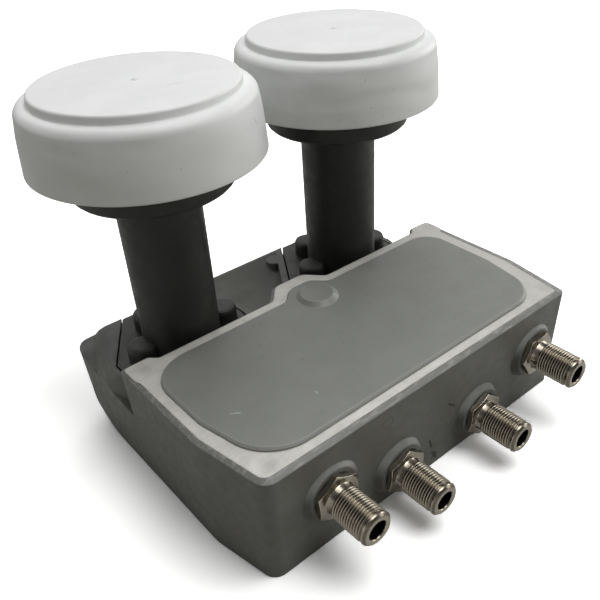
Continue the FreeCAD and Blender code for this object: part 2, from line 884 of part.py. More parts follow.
def horn_screws():
    screws = []
    for x in neck_x:
        for cx, cy in lug_centres(x):
            screws.append(pan_screw(cx, cy, horn_screw_seat_z, horn_screw_radius, horn_screw_length,
                                    horn_screw_head_radius, horn_screw_head, -1))
    return Part.makeCompound(screws)


def connector_shell(i):
    """Plated connector shell: spigot in the wall, hexagon, thread blank, groove and nose."""
    x = connector_x[i]
    z = connector_z[i]
    hex_back = collar_front_y - seal_thickness
    groove_back = thread_front_y - groove_side
    groove_front = groove_back - groove_width
    nose_back = groove_front - groove_side
    land_radius = thread_radius - nose_step
    points = [
        (0, spigot_end_y), (spigot_radius, spigot_end_y), (spigot_radius, hex_back),
        (neck_ring_radius, hex_back), (neck_ring_radius, thread_start_y),
        (thread_radius, thread_start_y - thread_lead), (thread_radius, thread_front_y),
        (groove_radius, groove_back), (groove_radius, groove_front), (land_radius, nose_back),
        (land_radius, nose_y + nose_chamfer), (nose_radius, nose_y), (0, nose_y),
    ]
    body = turned_y(points, x, z)
    corners = []
    for k in range(6):
        turn = math.radians(hex_turn[i] + 60 * k)
        corner_x = x + hex_corner_radius * math.cos(turn)
        corner_z = z + hex_corner_radius * math.sin(turn)
        corners.append(V(corner_x, hex_front_y, corner_z))
    hexagon = Part.Face(Part.makePolygon(corners + [corners[0]])).extrude(V(0, hex_back - hex_front_y, 0))
    reach = hex_corner_radius + past
    low_radius = hex_corner_radius - hex_trim
    cone_end = hex_front_y + (reach - low_radius) / hex_chamfer_slope
    trim_points = [
        (0, hex_front_y), (low_radius, hex_front_y), (reach, cone_end),
        (reach, hex_back + past), (0, hex_back + past),
    ]
    trim = turned_y(trim_points, x, z)
    body = body.fuse(hexagon.common(trim))
    bore_end = nose_y + connector_bore_depth
    body = body.cut(along_y(x, z, nose_y - past, bore_end, connector_bore_radius))
    body = body.cut(along_y(x, z, bore_end - past, spigot_end_y + past, insulator_radius))
    return body.removeSplitter()


def insulator(i):
    """Plastic core of a connector with the contact's hole through it."""
    x = connector_x[i]
    z = connector_z[i]
    front = nose_y + connector_bore_depth
    body = along_y(x, z, front, spigot_end_y, insulator_radius)
    nose = along_y(x, z, front - contact_setback, front, insulator_radius - insulator_step)
    return body.fuse(nose).cut(along_y(x, z, front - past, spigot_end_y + past, contact_radius))


def contact(i):
    """Spring socket with a tail down or up to the board."""
    x = connector_x[i]
    z = connector_z[i]
    front = nose_y + connector_bore_depth - contact_setback
    end = spigot_end_y + contact_end
    body = along_y(x, z, front, end, contact_radius)
    body = body.cut(along_y(x, z, front - past, front + contact_bore_depth, contact_bore))
    body = body.fuse(along_y(x, z, end - contact_joint, contact_tail_y, wire_radius))
    if z > board_top_z:
        tail = rod(x, contact_tail_y, board_top_z, z + tail_radius, tail_radius)
    else:
        tail = rod(x, contact_tail_y, z - tail_radius, board_z, tail_radius)
    return body.fuse(tail)


def connector_seals():
    """Thin washers between the collars and the hexagons."""
    hole = spigot_radius + seal_fit
    rings = []
    for x, z in zip(connector_x, connector_z):
        ring = along_y(x, z, collar_front_y - seal_thickness, collar_front_y, seal_radius)
        rings.append(ring.cut(along_y(x, z, collar_front_y - past, collar_front_y + past, hole)))
    return Part.makeCompound(rings)


def circuit_board():
    """Board across the block with one tongue into each waveguide."""
    corners = cavity_outline(board_margin)
    body = prism(corners, board_z, board_top_z)
    start_y = corners[3][1] - past
    for x in neck_x:
        left = x - tongue_half_width
        right = x + tongue_half_width
        body = body.fuse(box(left, right, start_y, tongue_end_y, board_z, board_top_z))
    tools = []
    for x, y in board_post_places:
        tools.append(rod(x, y, board_z - past, board_top_z + past, board_screw_radius + screw_clearance))
    for x, y in lid_screw_places():
        tools.append(rod(x, y, board_z - past, board_top_z + past, lid_post_radius + post_clearance))
    return body.removeSplitter().cut(tools)


def board_screws():
    screws = []
    for x, y in board_post_places:
        screws.append(pan_screw(x, y, board_top_z, board_screw_radius, board_screw_length,
                                board_screw_head_radius, board_screw_head, 1))
    return Part.makeCompound(screws)


def screening_cover():
    """Folded metal cover over the middle of the board, with one partition."""
    x0, x1 = cover_x
    y0, y1 = cover_y
    low = board_top_z
    high = low + cover_height
    t = cover_sheet
    middle = (x0 + x1) / 2
    body = box(x0, x1, y0, y1, low, high)
    body = body.cut(box(x0 + t, x1 - t, y0 + t, y1 - t, low - past, high - t))
    partition = box(middle - t / 2, middle + t / 2, y0 + t, y1 - t, low, high - t)
    return body.fuse(partition).removeSplitter()


def board_components():
    """Amplifier and switch packages and the two oscillator pucks under the cover."""
    parts = []
    for x, y, side, height in packages:
        half = side / 2
        parts.append(box(x - half, x + half, y - half, y + half, board_top_z, board_top_z + height))
    for x in puck_x:
        parts.append(rod(x, puck_y, board_top_z, board_top_z + puck_height, puck_radius))
    return Part.makeCompound(parts)


def probes(x):
    """Two metal strips at right angles on the board's tongue inside the waveguide."""
    low = board_top_z
    high = low + probe_thickness
    half = probe_width / 2
    reach_y = probe_gap - waveguide_radius + probe_reach
    upright = box(x - half, x + half, probe_start_y, reach_y, low, high)
    end_x = x + waveguide_radius - probe_gap - probe_end_gap
    cross = box(end_x - probe_reach, end_x, -half, half, low, high)
    feed = box(end_x - probe_width, end_x, probe_start_y, 0, low, high)
    return Part.makeCompound([upright, cross.fuse(feed).removeSplitter()])


def main():
    nodes = {
        "housing": housing(),
        "lid": lid(),
        "lid_screws": lid_screws(),
        "lid_sealant": lid_sealant(),
        "horn_screws": horn_screws(),
        "connector_seals": connector_seals(),
        "circuit_board": circuit_board(),
        "board_screws": board_screws(),
        "screening_cover": screening_cover(),
        "board_components": board_components(),
    }
    for name, x in zip(side_names, neck_x):
        nodes[name + "_horn"] = horn(x)
        nodes[name + "_cap"] = cap(x)
        nodes[name + "_cap_seal"] = cap_seal(x)
        nodes[name + "_horn_gasket"] = gasket(x)
        nodes[name + "_probes"] = probes(x)
    for i in range(len(connector_x)):
        nodes["connector_shell_%d" % (i + 1)] = connector_shell(i)
        nodes["connector_insulator_%d" % (i + 1)] = insulator(i)
        nodes["connector_contact_%d" % (i + 1)] = contact(i)
    os.makedirs("parts", exist_ok=True)
    for name, shape in nodes.items():
        shape.exportStep("parts/" + name + ".step")


main()
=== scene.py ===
"""Looks of a twin-feed satellite LNB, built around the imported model.

Lengths are in millimetres in the model's frame, and MM turns them into metres. Those of the lamps
and the floor are in metres. X runs along the row of connectors, which face -Y, and the necks stand
up along +Z.
"""
import bpy
import bmesh
import math
from mathutils import Matrix, Vector


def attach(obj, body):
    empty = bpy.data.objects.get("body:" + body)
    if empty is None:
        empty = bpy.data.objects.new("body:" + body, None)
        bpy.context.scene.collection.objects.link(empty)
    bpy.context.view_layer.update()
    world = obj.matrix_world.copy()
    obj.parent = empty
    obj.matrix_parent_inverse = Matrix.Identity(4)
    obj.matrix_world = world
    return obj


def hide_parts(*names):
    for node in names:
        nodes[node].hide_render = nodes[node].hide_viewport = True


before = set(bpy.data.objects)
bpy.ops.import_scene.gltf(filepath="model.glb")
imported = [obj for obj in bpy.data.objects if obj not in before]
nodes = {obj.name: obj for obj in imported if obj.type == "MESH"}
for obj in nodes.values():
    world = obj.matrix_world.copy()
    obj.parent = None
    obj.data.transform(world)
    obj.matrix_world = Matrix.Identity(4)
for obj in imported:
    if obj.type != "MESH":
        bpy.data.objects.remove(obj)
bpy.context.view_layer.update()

MM = 0.001

# Camera: direction, roll, distance, target and lens.
camera_azimuth = 39.552
camera_elevation = 34.389
camera_roll = -2.621
camera_distance = 254.519
camera_target = (23.843, 0.0, 12.832)
focal_pixels = 719.07
picture_centre = (325.256, 307.379)
picture_size = 600

# Places and sizes shared with the model.
neck_x = (-32.0, 32.0)
cap_top_z = 106.0
lid_top_z = 38.2
sealant_top_z = 37.2
deck_z = 34.0
rim_z = 36.4
wall_foot_y = -67.9
wall_rim_y = -70.4
connector_x = (-34.4, -10.5, 21.75, 45.8)
connector_z = (20.9, 12.0, 12.0, 21.1)
hex_turn = (33.0, 22.0, 21.0, 2.0)
hex_back_y = -71.1
hex_front_y = -72.7
hex_corner_radius = 7.0
thread_radius = 4.76
thread_root_radius = 4.28
thread_pitch = 0.794
thread_start_y = -74.5
thread_end_y = -84.15
groove_radius = 4.25
nose_radius = 4.66
nose_y = -85.95
bore_radius = 3.3
mouth_radius = 2.7
bore_floor_y = -79.95
spigot_radius = 4.5
spigot_end_y = -64.0
insulator_radius = 2.9

# Flank of the collar round a connector, where light and shade are painted: where it starts and ends from
# the axis, and along Y.
collar_flank_start = (7.2, 7.5)
collar_flank_end = (8.6, 8.8)
collar_flank_y = (-68.9, -69.3)

# Chamfer round the hexagon's front, and the segments of the turned pieces.
hex_chamfer_radius = 6.15
hex_chamfer_angle = 24
shell_segments = 96
cap_segments = 144

# Outline of a cap as (radius, height, rounding), from the middle of its top round to the underside.
cap_corners = (
    (0.05, cap_top_z, 0), (25.6, cap_top_z, 0.75), (25.75, 103.8, 0.4), (29.0, 103.8, 2.7),
    (30.0, 96.5, 25.0), (30.6, 87.1, 0.35), (29.15, 87.1, 0.15), (29.15, 93.0, 0), (27.75, 93.0, 0),
    (27.15, 100.8, 0), (23.7, 104.1, 0), (0.05, 104.1, 0),
)

# Lid screws under the sealing compound.
lid_screw_places = ((-49.5, -65.2), (54.5, -65.2), (58.3, -15.3), (-53.3, -15.3))

# Dark scuffs on the front wall, as (start, end, width) with places as (x, z).
scuffs = (
    ((2.5, 11.8), (3.6, 8.5), 0.6),
    ((4.3, 5.8), (6.4, 2.4), 0.6),
    ((4.6, 2.9), (6.5, 4.2), 0.5),
    ((5.4, 5.4), (5.9, 4.4), 0.4),
    ((8.8, 22.0), (11.7, 19.6), 0.42),
)

# Ring that an ejector pin left on the front wall.
ejector_place = (-15.5, 31.3)
ejector_radius = 1.8

# Nicks in the front rim, as (centre, radius).
rim_chips = (
    ((-14.7, -69.6, 36.6), 0.8),
    ((-11.4, -69.4, 36.7), 1.1),
    ((-9.6, -69.8, 36.6), 0.7),
    ((32.6, -70.0, 36.7), 1.0),
)

# Fine pale scratches on the lid, as (start, end, width) with places as (x, y).
lid_scratches = (
    ((-46.0, -46.8), (-44.7, -47.9), 0.3),
    ((-44.8, -47.5), (-44.3, -48.2), 0.42),
    ((-25.8, -54.8), (-25.9, -55.9), 0.28),
)

# Rubbed line on the left cap, with places as (x, y).
cap_scratch = ((-29.1, -9.9), (-25.3, -10.8))


class Shader:
    """One procedural material and short calls that add nodes to it."""

    def __init__(self, name, **constants):
        self.material = bpy.data.materials.new(name)
        self.material.use_nodes = True
        self.tree = self.material.node_tree
        self.surface = self.tree.nodes["Principled BSDF"]
        for socket, value in constants.items():
            self.surface.inputs[socket.replace("_", " ")].default_value = value
        self.place = self.node("ShaderNodeTexCoord").outputs["Object"]

    def node(self, kind, **settings):
        made = self.tree.nodes.new(kind)
        for key, value in settings.items():
            setattr(made, key, value)
        return made

    def link(self, source, target):
        """Links a socket to target, or sets target to a plain value."""
        if hasattr(source, "links"):
            self.tree.links.new(source, target)
        else:
            target.default_value = source

    def noise(self, size, detail=2.0, roughness=0.5, stretch=(1, 1, 1), seed=0.0):
        """Noise with features of about size millimetres, stretched by stretch along each axis."""
        mapping = self.node("ShaderNodeMapping")
        mapping.inputs["Scale"].default_value = [1 / factor for factor in stretch]
        mapping.inputs["Location"].default_value = (seed, seed * 0.7, -seed)
        self.link(self.place, mapping.inputs["Vector"])
        made = self.node("ShaderNodeTexNoise")
        made.inputs["Scale"].default_value = 1 / (size * MM)
        made.inputs["Detail"].default_value = detail
        made.inputs["Roughness"].default_value = roughness
        self.link(mapping.outputs["Vector"], made.inputs["Vector"])
        return made.outputs["Fac"]

    def maths(self, operation, a, b=0.0, clamp=False):
        made = self.node("ShaderNodeMath", operation=operation, use_clamp=clamp)
        self.link(a, made.inputs[0])
        self.link(b, made.inputs[1])
        return made.outputs[0]

    def vector(self, operation, *values):
        """Vector operation's node, with its first inputs set or linked."""
        made = self.node("ShaderNodeVectorMath", operation=operation)
        for value, socket in zip(values, made.inputs):
            self.link(value, socket)
        return made

    def span(self, value, low, high, to_low=0.0, to_high=1.0):
        """Maps value from low..high to to_low..to_high, held at the ends."""
        made = self.node("ShaderNodeMapRange", interpolation_type="SMOOTHSTEP")
        self.link(value, made.inputs["Value"])
        made.inputs["From Min"].default_value = low
        made.inputs["From Max"].default_value = high
        made.inputs["To Min"].default_value = to_low
        made.inputs["To Max"].default_value = to_high
        return made.outputs["Result"]

    def along(self, axis, low, high, to_low=0.0, to_high=1.0):
        """Span of a coordinate in millimetres."""
        made = self.node("ShaderNodeSeparateXYZ")
        self.link(self.place, made.inputs[0])
        return self.span(made.outputs[axis], low * MM, high * MM, to_low, to_high)

    def blend(self, share, a, b):
        """Colour a where share is 0 and b where it is 1."""
        made = self.node("ShaderNodeMix", data_type="RGBA")
        self.link(share, made.inputs["Factor"])
        for colour, socket in ((a, made.inputs[6]), (b, made.inputs[7])):
            self.link(colour if hasattr(colour, "links") else (*colour, 1.0), socket)
        return made.outputs[2]

    def lay(self, colour, tint, mask, strength):
        """Colour with tint over it where mask is 1, as far as strength says."""
        return self.blend(self.maths("MULTIPLY", mask, strength), colour, tint)

    def bump(self, height, distance, before=None):
        """Relief of distance millimetres."""
        made = self.node("ShaderNodeBump")
        made.inputs["Distance"].default_value = distance * MM
        made.inputs["Strength"].default_value = 1.0
        self.link(height, made.inputs["Height"])
        if before is not None:
            self.link(before, made.inputs["Normal"])
        return made.outputs["Normal"]

    def bevel(self, radius):
        made = self.node("ShaderNodeBevel", samples=6)
        made.inputs["Radius"].default_value = radius * MM
        return made.outputs["Normal"]

    def edge_highlight_mask(self, radius):
        """1 on edges that are rounded within radius millimetres, 0 on flat ground."""
        flat_cosine = 0.985
        edge_cosine = 0.93
        plain = self.node("ShaderNodeNewGeometry").outputs["True Normal"]
        lean = self.vector("DOT_PRODUCT", self.bevel(radius), plain)
        return self.span(lean.outputs["Value"], flat_cosine, edge_cosine)

    def facing_up(self, low, high):
        """1 on ground that faces up, 0 on walls."""
        made = self.node("ShaderNodeSeparateXYZ")
        self.link(self.node("ShaderNodeNewGeometry").outputs["Normal"], made.inputs[0])
        return self.span(made.outputs["Z"], low, high)

    def near(self, point, radius, soft=0.6, ragged=0.0):
        """1 within radius millimetres of a point, 0 outside it; ragged roughens its outline."""
        gap = self.vector("DISTANCE", self.place, [c * MM for c in point]).outputs["Value"]
        if ragged:
            gap = self.maths("ADD", gap, self.maths("MULTIPLY", self.noise(0.8), ragged * MM))
        return self.span(gap, radius * soft * MM, radius * MM, 1.0, 0.0)

    def from_axis(self, x, z):
        """Distance in millimetres from a connector axis."""
        flat = self.vector("MULTIPLY_ADD", self.place, (1 / MM, 0.0, 1 / MM), (-x, 0.0, -z))
        return self.vector("LENGTH", flat.outputs["Vector"]).outputs["Value"]

    def scratch(self, start, end, width, wander=0.4):
        """1 on a thin wavering line between two points in millimetres, 0 beside it."""
        first = Vector(start)
        run = Vector(end) - first
        local = self.vector("MULTIPLY_ADD", self.place, (1 / MM, 1 / MM, 1 / MM), -first)
        share = self.vector("DOT_PRODUCT", local.outputs["Vector"], run / run.length_squared)
        held = self.maths("MULTIPLY", share.outputs["Value"], 1.0, clamp=True)
        nearest = self.vector("SCALE", run)
        self.link(held, nearest.inputs["Scale"])
        gap = self.vector("DISTANCE", local.outputs["Vector"], nearest.outputs["Vector"])
        sway = self.maths("MULTIPLY", self.maths("SUBTRACT", self.noise(1.3), 0.5), wander)
        reach = self.maths("ADD", gap.outputs["Value"], sway)
        return self.span(reach, width * 0.4, width, 1.0, 0.0)

    def vertex(self, name):
        """Value that the mesh carries at its vertices."""
        return self.node("ShaderNodeAttribute", attribute_name=name).outputs["Fac"]

    def finish(self, colour, roughness=None, normal=None):
        for value, socket in ((colour, "Base Color"), (roughness, "Roughness"), (normal, "Normal")):
            if value is not None:
                self.link(value, self.surface.inputs[socket])
        return self.material


def cast_paint(name, dark, light, grain=0.012, rough=(0.42, 0.58), edge=0.5, shine=0.42):
    """Grey paint on metal: fine orange peel, faint mottling and softened edges."""
    s = Shader(name, Specular_IOR_Level=shine)
    cloud = s.span(s.noise(9.0, 4.0, 0.55), 0.35, 0.65)
    speck = s.span(s.noise(0.55, 2.0, 0.6), 0.58, 0.75)
    pale = [c * 1.12 for c in light]
    colour = s.lay(s.blend(cloud, dark, light), pale, speck, 0.35)
    roughness = s.span(s.noise(3.0, 3.0), 0.3, 0.7, *rough)
    normal = s.bump(s.noise(0.4, 2.0, 0.6), grain, s.bevel(edge))
    normal = s.bump(s.noise(4.5), 0.05, normal)
    return s, colour, roughness, normal


def plain_finish(name, dark, light, patch, roughness, grain, relief, detail=2.0, **constants):
    """Two close colours in patches of a size, with fine relief of its own grain."""
    s = Shader(name, **constants)
    colour = s.blend(s.noise(patch, detail), dark, light)
    return s.finish(colour, roughness, s.bump(s.noise(grain), relief))


def on_front_wall(x, z):
    """Point of the slanted front wall."""
    return (x, wall_foot_y + (wall_rim_y - wall_foot_y) * z / rim_z, z)


# Housing: paint with painted light and shade on the collars, painted shade on the deck, a worn rim,
# scuffs, an ejector ring and nicks.
s, colour, rough, normal = cast_paint("housing_paint", (0.147, 0.147, 0.134), (0.16, 0.16, 0.146))
for x, z in zip(connector_x, connector_z):
    reach = s.from_axis(x, z)
    within = s.span(reach, *collar_flank_end, 1.0, 0.0)
    flank = s.maths("MULTIPLY", s.span(reach, *collar_flank_start), within)
    flank = s.maths("MULTIPLY", flank, s.along("Y", *collar_flank_y))
    # Painted light and shade on each collar's flank: dark low on the flank, pale on top.
    collar_light_and_shade = s.blend(s.along("Z", z + 1, z + 6), (0.09, 0.09, 0.082), (0.29, 0.293, 0.28))
    colour = s.lay(colour, collar_light_and_shade, flank, 0.8)
# Painted shade: up-facing ground at deck height, under the caps, is painted darker.
low_ground = s.along("Z", deck_z - 1, deck_z + 1, 0.75, 0.0)
deck_painted_shade = s.maths("MULTIPLY", s.facing_up(0.6, 0.95), low_ground)
colour = s.blend(deck_painted_shade, colour, (0.1, 0.1, 0.088))
streaks = s.span(s.noise(1.2, 3.0, 0.6, (4, 1, 1), 5.0), 0.45, 0.7)
worn = s.blend(streaks, (0.22, 0.22, 0.205), (0.42, 0.42, 0.4))
colour = s.lay(colour, worn, s.along("Z", rim_z - 0.3, rim_z + 0.3), 0.6)
for start, end, width in scuffs:
    line = s.scratch(on_front_wall(*start), on_front_wall(*end), width)
    colour = s.lay(colour, (0.025, 0.024, 0.02), line, 0.9)
ejector_centre = on_front_wall(*ejector_place)
disc = s.near(ejector_centre, ejector_radius + 0.2, 0.75)
ring = s.maths("SUBTRACT", disc, s.near(ejector_centre, ejector_radius - 0.1, 0.75))
colour = s.lay(colour, (0.035, 0.035, 0.03), ring, 0.6)
for point, radius in rim_chips:
    colour = s.lay(colour, (0.42, 0.42, 0.4), s.near(point, radius, 0.5, 1.2), 0.7)
housing_paint = s.finish(colour, rough, normal)

# Horns: near-black paint, darker than the casting's own tone as painted shade under the caps, with
# painted light on the up-facing tops of the lugs and plates.
s, colour, rough, normal = cast_paint(
    "horn_paint", (0.022, 0.0223, 0.0187), (0.027, 0.0272, 0.023),
    rough=(0.42, 0.56), edge=0.35, shine=0.36)
# Painted light: the up-facing tops of the lugs and plates are painted lighter.
colour = s.lay(colour, (0.065, 0.065, 0.058), s.facing_up(0.3, 0.9), 0.85)
horn_paint = s.finish(colour, rough, normal)

# Lid: paler paint with scratches, a painted highlight along its edges and dark specks.
s, colour, rough, normal = cast_paint(
    "lid_paint", (0.224, 0.23, 0.212), (0.24, 0.246, 0.228), grain=0.006, rough=(0.36, 0.5), edge=0.4)
for start, end, width in lid_scratches:
    line = s.scratch((*start, lid_top_z), (*end, lid_top_z), width, 0.5)
    colour = s.lay(colour, (0.55, 0.55, 0.52), line, 0.45)
# Painted highlight: the lid's rounded edges are painted pale.
colour = s.lay(colour, (0.42, 0.425, 0.4), s.edge_highlight_mask(1.1), 0.6)
specks = s.span(s.noise(1.1, 1.0, 0.5, seed=4.0), 0.77, 0.8)
colour = s.lay(colour, (0.06, 0.06, 0.058), specks, 0.55)
lid_paint = s.finish(colour, rough, normal)

# Sealing compound: an uneven pour with streaks, grey stains, dimples over the screws and painted shade
# toward +X.
s = Shader("sealant", Specular_IOR_Level=0.4)
colour = s.blend(s.span(s.noise(6.0, 4.0, 0.6), 0.35, 0.7), (0.64, 0.628, 0.585), (0.73, 0.72, 0.675))
# Painted shade: the compound is painted darker toward +X.
colour = s.blend(s.along("X", 10, 60, 0.0, 0.8), colour, (0.52, 0.512, 0.48))
streaks = s.span(s.noise(1.3, 4.0, 0.65, (2.5, 1, 1), 7.0), 0.42, 0.68)
colour = s.lay(colour, (0.45, 0.44, 0.41), streaks, 0.3)
stains = s.span(s.noise(3.2, 5.0, 0.65, seed=2.0), 0.6, 0.78)
colour = s.lay(colour, (0.33, 0.32, 0.3), stains, 0.35)
dimples = 0.0
for place in lid_screw_places:
    dimple = s.near((*place, sealant_top_z), 3.6, 0.1)
    dimples = s.maths("ADD", dimples, dimple)
    colour = s.lay(colour, (0.42, 0.4, 0.37), dimple, 0.28)
normal = s.bump(s.noise(1.8, 3.0), 0.09, s.bevel(0.7))
normal = s.bump(s.noise(7.0, 1.0, seed=6.0), 0.3, normal)
normal = s.bump(dimples, -0.4, normal)
sealant = s.finish(colour, s.span(s.noise(2.5), 0.3, 0.7, 0.38, 0.6), normal)

# White caps: satin plastic with faint flow waves, a gate mark in the middle, dust and a rubbed line.
s = Shader("cap_plastic", Specular_IOR_Level=0.45)
colour = s.blend(s.span(s.noise(11.0, 3.0), 0.3, 0.7), (0.79, 0.8, 0.79), (0.83, 0.84, 0.83))
dust = s.span(s.noise(1.5, 1.0, 0.5, seed=9.0), 0.77, 0.8)
colour = s.lay(colour, (0.4, 0.39, 0.36), dust, 0.4)
start, end = cap_scratch
line = s.scratch((*start, cap_top_z), (*end, cap_top_z), 0.3)
colour = s.lay(colour, (0.5, 0.5, 0.49), line, 0.45)
gates = 0.0
for x in neck_x:
    gates = s.maths("ADD", gates, s.near((x, 0.0, cap_top_z), 1.1, 0.3))
normal = s.bump(s.noise(0.7), 0.006, s.bevel(0.4))
normal = s.bump(s.noise(14.0, 1.0, stretch=(1.6, 1.6, 0.45), seed=3.0), 0.6, normal)
normal = s.bump(gates, 0.5, normal)
cap_plastic = s.finish(colour, s.span(s.noise(5.0, 3.0), 0.3, 0.7, 0.34, 0.46), normal)

# Nickel plating: warm grey, turned along the axis, with dirt and painted shade in the thread roots and
# painted highlights on the edges of the hexagon and the mouth.
s = Shader("nickel_plating", Metallic=1.0)
colour = s.blend(s.noise(2.5), (0.335, 0.3, 0.238), (0.39, 0.355, 0.29))
# Dirt and painted shade: the thread roots, the groove and the nose chamfer are painted darker.
colour = s.lay(colour, (0.05, 0.04, 0.025), s.span(s.vertex("root"), 0.1, 1.0), 0.62)
# Painted highlights: the edges of the hexagon and the mouth are painted pale, away from the thread.
past_hexagon = s.along("Y", -73.7, -73.3, 1.0, 0.0)
thread_zone = s.maths("MULTIPLY", past_hexagon, s.along("Y", nose_y + 0.05, nose_y + 0.13))
edges = s.maths("MULTIPLY", s.edge_highlight_mask(0.3), s.maths("SUBTRACT", 1.0, thread_zone))
colour = s.lay(colour, (0.85, 0.81, 0.73), edges, 0.75)
normal = s.bump(s.noise(0.3, 2.0, 0.6, (1, 14, 1)), 0.003, s.bevel(0.12))
nickel = s.finish(colour, s.span(s.noise(2.2), 0.3, 0.7, 0.2, 0.26), normal)
# Bore walls: nickel painted dark as painted shade deep inside the bore.
bore_painted_shade = plain_finish(
    "bore_painted_shade", (0.07, 0.064, 0.055), (0.12, 0.11, 0.098),
    patch=1.5, roughness=0.3, grain=0.5, relief=0.01, Metallic=1.0)

# Core of the connectors, and the contacts, seals, screws, board and its parts.
insulator_plastic = plain_finish(
    "insulator_plastic", (0.012, 0.012, 0.011), (0.03, 0.028, 0.026),
    patch=0.8, roughness=0.45, grain=0.3, relief=0.01, Specular_IOR_Level=0.4)
contact_brass = plain_finish(
    "contact_brass", (0.62, 0.47, 0.2), (0.74, 0.58, 0.28),
    patch=0.8, roughness=0.3, grain=0.3, relief=0.005, Metallic=1.0)
seal_rubber = plain_finish(
    "seal_rubber", (0.02, 0.02, 0.02), (0.035, 0.034, 0.033),
    patch=1.5, roughness=0.7, grain=0.4, relief=0.02, Specular_IOR_Level=0.3)
screw_steel = plain_finish(
    "screw_steel", (0.5, 0.5, 0.5), (0.66, 0.66, 0.65),
    patch=1.0, roughness=0.35, grain=0.3, relief=0.01, Metallic=1.0)
board_laminate = plain_finish(
    "board_laminate", (0.03, 0.09, 0.045), (0.045, 0.12, 0.06),
    patch=1.2, roughness=0.4, grain=0.25, relief=0.01, detail=3.0, Specular_IOR_Level=0.5)
cover_tinplate = plain_finish(
    "cover_tinplate", (0.6, 0.6, 0.58), (0.7, 0.7, 0.68),
    patch=4.0, roughness=0.3, grain=2.0, relief=0.03, Metallic=1.0)
package_plastic = plain_finish(
    "package_plastic", (0.02, 0.02, 0.02), (0.04, 0.04, 0.04),
    patch=0.5, roughness=0.5, grain=0.2, relief=0.01, Specular_IOR_Level=0.4)

finishes = {
    "housing": housing_paint, "lid": lid_paint, "lid_sealant": sealant, "lid_screws": screw_steel,
    "horn_screws": screw_steel, "board_screws": screw_steel, "connector_seals": seal_rubber,
    "circuit_board": board_laminate, "screening_cover": cover_tinplate,
    "board_components": package_plastic,
}
for side in ("left", "right"):
    finishes[side + "_horn"] = horn_paint
    finishes[side + "_cap"] = cap_plastic
    finishes[side + "_cap_seal"] = seal_rubber
    finishes[side + "_horn_gasket"] = seal_rubber
    finishes[side + "_probes"] = contact_brass
for i in range(4):
    finishes["connector_shell_%d" % (i + 1)] = nickel
    finishes["connector_insulator_%d" % (i + 1)] = insulator_plastic
    finishes["connector_contact_%d" % (i + 1)] = contact_brass
for name, material in finishes.items():
    mesh = nodes[name].data
    mesh.materials.clear()
    mesh.materials.append(material)


def hex_reach(turn, angle):
    """Distance from the axis to the hexagon's flank at an angle."""
    local = (angle - math.radians(turn)) % (math.pi / 3) - math.pi / 6
    return hex_corner_radius * math.cos(math.pi / 6) / math.cos(local)


def join_rings(mesh, first, second):
    count = len(first)
    for k in range(count):
        after = (k + 1) % count
        mesh.faces.new((first[k], first[after], second[after], second[k]))


def turned_profile(mesh, x, z, profile, count, turn):
    """Skin about a connector axis through a profile of (radius, y, shade_and_grime); the last darkens
    the nickel in recesses as dirt and painted shade.

    A radius or y may be a function of the angle.
    """
    shade_and_grime_layer = mesh.verts.layers.float["root"]
    rings = []
    for radius, y, shade_and_grime in profile:
        ring = []
        for k in range(count):
            angle = math.radians(turn) + 2 * math.pi * k / count
            r = radius(angle) if callable(radius) else radius
            depth = y(angle) if callable(y) else y
            made = mesh.verts.new(
                ((x + r * math.cos(angle)) * MM, depth * MM, (z + r * math.sin(angle)) * MM))
            made[shade_and_grime_layer] = shade_and_grime
            ring.append(made)
        rings.append(ring)
    for first, second in zip(rings, rings[1:]):
        join_rings(mesh, first, second)


def within_unit(value):
    return min(max(value, 0.0), 1.0)


def rolled_thread(mesh, x, z, count, turn):
    """Helical thread that fades out at both ends, as one sheared grid."""
    steps = 8
    turns = int((thread_start_y - thread_end_y) / thread_pitch) + 1
    depth = thread_radius - thread_root_radius
    fade_in = 0.6 * thread_pitch
    fade_out = 0.5 * thread_pitch
    shade_and_grime_layer = mesh.verts.layers.float["root"]
    rows = []
    for j in range(-steps, turns * steps + 1):
        row = []
        for k in range(count + 1):
            share = k / count
            along = (j / steps + share) * thread_pitch
            y = thread_start_y - along
            crest = 1 - abs(2 * ((j / steps) % 1.0) - 1)
            crest = within_unit((crest - 0.1) / 0.75)
            fade = within_unit(along / fade_in) * within_unit((y - thread_end_y) / fade_out)
            y = min(max(y, thread_end_y), thread_start_y)
            r = thread_root_radius + depth * crest * fade
            angle = math.radians(turn) + 2 * math.pi * share
            made = mesh.verts.new(
                ((x + r * math.cos(angle)) * MM, y * MM, (z + r * math.sin(angle)) * MM))
            made[shade_and_grime_layer] = (thread_radius - r) / depth
            row.append(made)
        rows.append(row)
    for lower, upper in zip(rows, rows[1:]):
        for k in range(count):
            mesh.faces.new((lower[k], lower[k + 1], upper[k + 1], upper[k]))


def mesh_piece(name, mesh, materials, sharp_angle):
    """Object on the part's body from a bmesh, smooth but for edges sharper than sharp_angle degrees."""
    data = bpy.data.meshes.new(name)
    mesh.to_mesh(data)
    mesh.free()
    for material in materials:
        data.materials.append(material)
    for polygon in data.polygons:
        polygon.use_smooth = True
    data.set_sharp_from_angle(angle=math.radians(sharp_angle))
    piece = bpy.data.objects.new(name, data)
    bpy.context.scene.collection.objects.link(piece)
    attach(piece, "root")
    return piece


